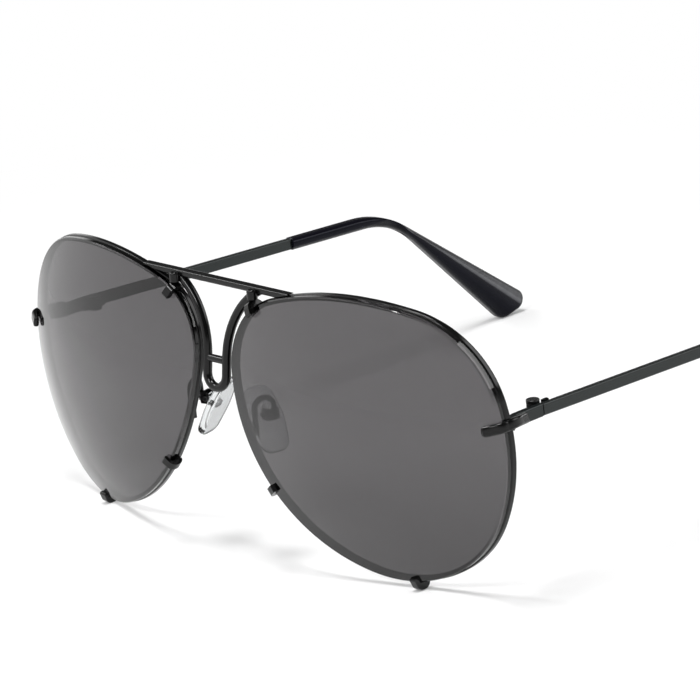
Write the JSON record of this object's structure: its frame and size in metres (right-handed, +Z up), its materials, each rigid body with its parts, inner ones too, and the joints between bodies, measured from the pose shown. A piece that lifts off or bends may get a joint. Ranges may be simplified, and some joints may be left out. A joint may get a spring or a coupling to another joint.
{
  "type": "oversized sunglasses",
  "caption": "Oversized teardrop sunglasses: smoke lenses held by claws in front of black wire rims, keyhole bridge, folding temples, rocking nose pads.",
  "frame": {"origin": "on the table, under the middle of the open glasses' bounding box", "axes": "+X to the wearer's left, lenses face -Y, temples run back along +Y, +Z up"},
  "size_m": [0.1508, 0.1598, 0.0634],
  "materials": {
    "black_metal": "gloss",
    "screw_steel": "gloss",
    "temple_metal": "satin",
    "smoke_lens": "polished, see-through",
    "tip_plastic": "gloss",
    "clear_pad": "clear"
  },
  "bodies": {
    "front": {"brow_bar": "black_metal", "bridge_loop": "black_metal", "bridge_crossbar": "black_metal", "left_lens": "smoke_lens", "right_lens": "smoke_lens", "left_rim": "black_metal", "right_rim": "black_metal", "left_bridge_post": "black_metal", "right_bridge_post": "black_metal", "left_top_claw": "black_metal", "right_top_claw": "black_metal", "left_lower_inner_claw": "black_metal", "right_lower_inner_claw": "black_metal", "left_lower_outer_claw": "black_metal", "right_lower_outer_claw": "black_metal", "left_lens_hook": "black_metal", "right_lens_hook": "black_metal", "left_endpiece": "temple_metal", "right_endpiece": "temple_metal", "left_front_hinge": "black_metal", "right_front_hinge": "black_metal", "left_hinge_screw": "screw_steel", "right_hinge_screw": "screw_steel", "left_pad_arm": "black_metal", "right_pad_arm": "black_metal", "left_pad_box": "black_metal", "right_pad_box": "black_metal", "left_pad_screw": "screw_steel", "right_pad_screw": "screw_steel"},
    "left_temple_arm": {"left_temple": "temple_metal", "left_temple_hinge": "black_metal", "left_temple_tip": "tip_plastic"},
    "right_temple_arm": {"right_temple": "temple_metal", "right_temple_hinge": "black_metal", "right_temple_tip": "tip_plastic"},
    "left_pad": {"left_nose_pad": "clear_pad"},
    "right_pad": {"right_nose_pad": "clear_pad"}
  },
  "joints": [
    {"name": "left_fold", "type": "hinge", "parent": "front", "child": "left_temple_arm", "pos_m": [0.0695, -0.05129, 0.0384], "axis": [0, 0, 1], "range_deg": [0, 88]},
    {"name": "right_fold", "type": "hinge", "parent": "front", "child": "right_temple_arm", "pos_m": [-0.0695, -0.05129, 0.0384], "axis": [0, 0, -1], "range_deg": [0, 83]},
    {"name": "left_pad_rock", "type": "hinge", "parent": "front", "child": "left_pad", "pos_m": [0.00981, -0.0708, 0.03246], "axis": [-0.2079, -0.9781, 0], "range_deg": [-8, 8]},
    {"name": "right_pad_rock", "type": "hinge", "parent": "front", "child": "right_pad", "pos_m": [-0.00981, -0.0708, 0.03246], "axis": [0.2079, -0.9781, 0], "range_deg": [-8, 8]}
  ]
}
